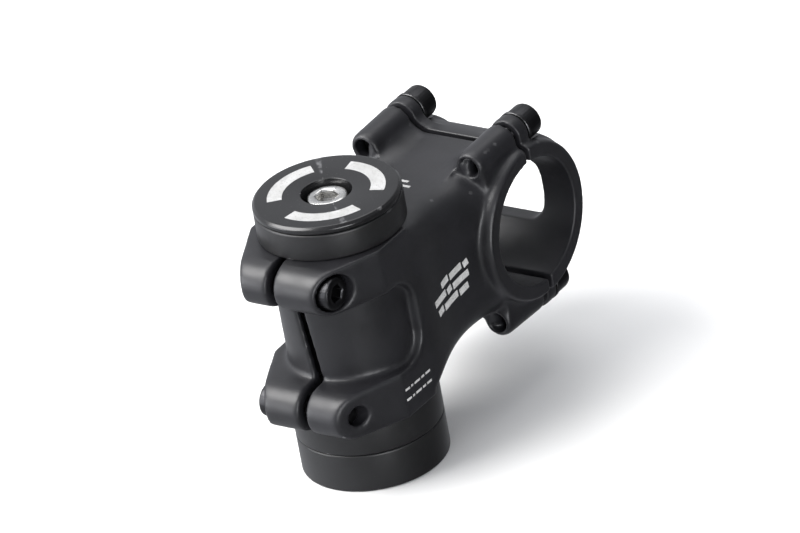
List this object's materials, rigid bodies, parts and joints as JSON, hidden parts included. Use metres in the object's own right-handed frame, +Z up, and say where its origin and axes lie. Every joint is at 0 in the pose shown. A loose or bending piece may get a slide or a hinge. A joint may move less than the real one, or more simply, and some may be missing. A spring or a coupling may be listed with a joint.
{
  "type": "bicycle handlebar stem",
  "caption": "Threadless handlebar stem: clamps a steerer tube with rear pinch bolts and a straight handlebar with a bolted faceplate; with spacers, top cap and star nut.",
  "frame": {"origin": "on the steerer axis, at the stem body's bottom face", "axes": "+Z up along the steerer axis, +Y forward to the handlebar, +X to the rider's right, along the handlebar"},
  "size_m": [0.044, 0.0966, 0.073],
  "materials": {
    "anodised_black": "satin black anodised, fine bead blast",
    "black_steel": "black oxide",
    "plain_steel": "bright zinc",
    "stainless": "brushed stainless",
    "cap_gloss": "gloss black anodised with a pale geometric print"
  },
  "bodies": {
    "stem": {"stem_body": "anodised_black", "star_nut_barrel": "plain_steel", "star_nut_upper_flange": "plain_steel", "star_nut_lower_flange": "plain_steel"},
    "faceplate": {"faceplate": "anodised_black", "faceplate_washer_lower_left": "black_steel", "faceplate_washer_lower_right": "black_steel", "faceplate_washer_upper_left": "black_steel", "faceplate_washer_upper_right": "black_steel"},
    "faceplate_bolt_lower_left": {"faceplate_bolt_lower_left": "black_steel"},
    "faceplate_bolt_lower_right": {"faceplate_bolt_lower_right": "black_steel"},
    "faceplate_bolt_upper_left": {"faceplate_bolt_upper_left": "black_steel"},
    "faceplate_bolt_upper_right": {"faceplate_bolt_upper_right": "black_steel"},
    "clamp_washer_upper": {"steerer_clamp_washer_upper": "black_steel"},
    "clamp_bolt_upper": {"steerer_clamp_bolt_upper": "black_steel"},
    "clamp_washer_lower": {"steerer_clamp_washer_lower": "black_steel"},
    "clamp_bolt_lower": {"steerer_clamp_bolt_lower": "black_steel"},
    "top_cap": {"top_cap": "cap_gloss"},
    "top_cap_bolt": {"top_cap_bolt": "stainless"},
    "upper_spacer": {"upper_spacer": "anodised_black"},
    "lower_spacer": {"lower_spacer": "anodised_black"},
    "base_spacer": {"base_spacer": "anodised_black"}
  },
  "joints": [
    {"name": "faceplate_slide", "type": "slide", "parent": "stem", "child": "faceplate", "axis": [0, 1, 0], "range_m": [0, 0.0096]},
    {"name": "faceplate_bolt_upper_left_turn", "type": "hinge", "parent": "faceplate", "child": "faceplate_bolt_upper_left", "pos_m": [-0.0155, 0.0565, 0.0445], "axis": [0, 1, 0], "range_deg": [0, 4320]},
    {"name": "faceplate_bolt_upper_right_turn", "type": "hinge", "parent": "faceplate", "child": "faceplate_bolt_upper_right", "pos_m": [0.0155, 0.0565, 0.0445], "axis": [0, 1, 0], "range_deg": [0, 4320]},
    {"name": "faceplate_bolt_lower_left_turn", "type": "hinge", "parent": "faceplate", "child": "faceplate_bolt_lower_left", "pos_m": [-0.0155, 0.0565, 0.0015], "axis": [0, 1, 0], "range_deg": [0, 4320]},
    {"name": "faceplate_bolt_lower_right_turn", "type": "hinge", "parent": "faceplate", "child": "faceplate_bolt_lower_right", "pos_m": [0.0155, 0.0565, 0.0015], "axis": [0, 1, 0], "range_deg": [0, 4320]},
    {"name": "clamp_bolt_upper_slide", "type": "slide", "parent": "stem", "child": "clamp_washer_upper", "axis": [1, 0, 0], "range_m": [0, 0.008]},
    {"name": "clamp_bolt_upper_turn", "type": "hinge", "parent": "clamp_washer_upper", "child": "clamp_bolt_upper", "pos_m": [0.0087, -0.0196, 0.04], "axis": [1, 0, 0], "range_deg": [0, 3600]},
    {"name": "clamp_bolt_lower_slide", "type": "slide", "parent": "stem", "child": "clamp_washer_lower", "axis": [-1, 0, 0], "range_m": [0, 0.008]},
    {"name": "clamp_bolt_lower_turn", "type": "hinge", "parent": "clamp_washer_lower", "child": "clamp_bolt_lower", "pos_m": [-0.0087, -0.0196, 0.006], "axis": [-1, 0, 0], "range_deg": [0, 3600]},
    {"name": "top_cap_slide", "type": "slide", "parent": "stem", "child": "top_cap", "axis": [0, 0, 1], "range_m": [0, 0.012]},
    {"name": "top_cap_bolt_turn", "type": "hinge", "parent": "top_cap", "child": "top_cap_bolt", "pos_m": [0, 0, 0.05], "axis": [0, 0, 1], "range_deg": [0, 4320]},
    {"name": "upper_spacer_spin", "type": "hinge", "parent": "stem", "child": "upper_spacer", "pos_m": [0, 0, 0.0495], "axis": [0, 0, 1], "continuous": true},
    {"name": "lower_spacer_spin", "type": "hinge", "parent": "stem", "child": "lower_spacer", "pos_m": [0, 0, -0.004], "axis": [0, 0, 1], "continuous": true},
    {"name": "base_spacer_spin", "type": "hinge", "parent": "stem", "child": "base_spacer", "pos_m": [0, 0, -0.013], "axis": [0, 0, 1], "continuous": true}
  ],
  "couplings": [
    {"joint": "faceplate_bolt_upper_left_turn", "follows": "faceplate_slide", "rad_per_m": 7854},
    {"joint": "faceplate_bolt_upper_right_turn", "follows": "faceplate_slide", "rad_per_m": 7854},
    {"joint": "faceplate_bolt_lower_left_turn", "follows": "faceplate_slide", "rad_per_m": 7854},
    {"joint": "faceplate_bolt_lower_right_turn", "follows": "faceplate_slide", "rad_per_m": 7854},
    {"joint": "clamp_bolt_upper_turn", "follows": "clamp_bolt_upper_slide", "rad_per_m": 7854},
    {"joint": "clamp_bolt_lower_turn", "follows": "clamp_bolt_lower_slide", "rad_per_m": 7854},
    {"joint": "top_cap_bolt_turn", "follows": "top_cap_slide", "rad_per_m": 6283.2}
  ]
}
